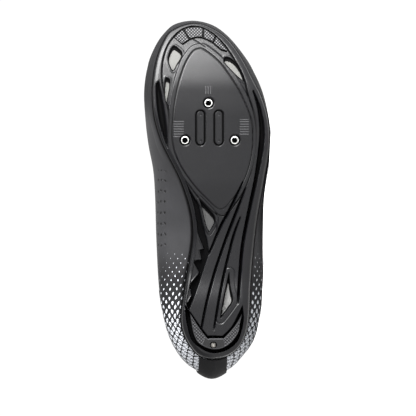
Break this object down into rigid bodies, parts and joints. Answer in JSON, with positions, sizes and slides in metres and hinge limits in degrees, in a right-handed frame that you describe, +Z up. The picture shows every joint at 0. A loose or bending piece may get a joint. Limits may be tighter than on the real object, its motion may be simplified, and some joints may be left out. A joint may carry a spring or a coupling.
{
  "type": "cycling shoe",
  "caption": "Road cycling shoe with a stiff moulded sole, cleat holes, vent windows, toe tread, heel pad, hollow upper, tongue and straps, lying on its outer side.",
  "frame": {"origin": "centre of the bounding box in plan, on the floor", "axes": "+X from the heel to the toe, +Y from the sole to the collar, +Z up from the outer side of the shoe, which lies on the floor, to its inner side"},
  "size_m": [0.2904, 0.1054, 0.1041],
  "materials": {
    "sole_nylon": "grey moulded nylon, satin",
    "tread_rubber": "black rubber with fine diagonal knurling",
    "pad_rubber": "dark rubber with a fine grid on its wings",
    "ring_steel": "plain turned steel",
    "vent_mesh": "pale open weave",
    "upper_fabric": "matt dark grey coated synthetic with rows of pinholes",
    "heel_strip": "matt black",
    "tongue_fabric": "soft black knit",
    "insole_foam": "dark brushed cloth over foam",
    "strap_webbing": "black coated webbing with stitched edges"
  },
  "bodies": {
    "root": {"outsole": "sole_nylon", "upper": "upper_fabric", "insole": "insole_foam", "tongue": "tongue_fabric", "heel_strip": "heel_strip", "toe_tread": "tread_rubber", "heel_pad": "pad_rubber", "heel_screw": "ring_steel", "cleat_ring_front": "ring_steel", "cleat_ring_inner": "ring_steel", "cleat_ring_outer": "ring_steel", "slot_insert_inner": "sole_nylon", "slot_insert_outer": "sole_nylon", "vent_mesh_inner_front": "vent_mesh", "vent_mesh_inner_rear": "vent_mesh", "vent_mesh_outer_front": "vent_mesh", "vent_mesh_arch": "vent_mesh", "vent_mesh_heel": "vent_mesh", "strap_toe": "strap_webbing", "strap_middle": "strap_webbing", "strap_instep": "strap_webbing"}
  },
  "joints": []
}
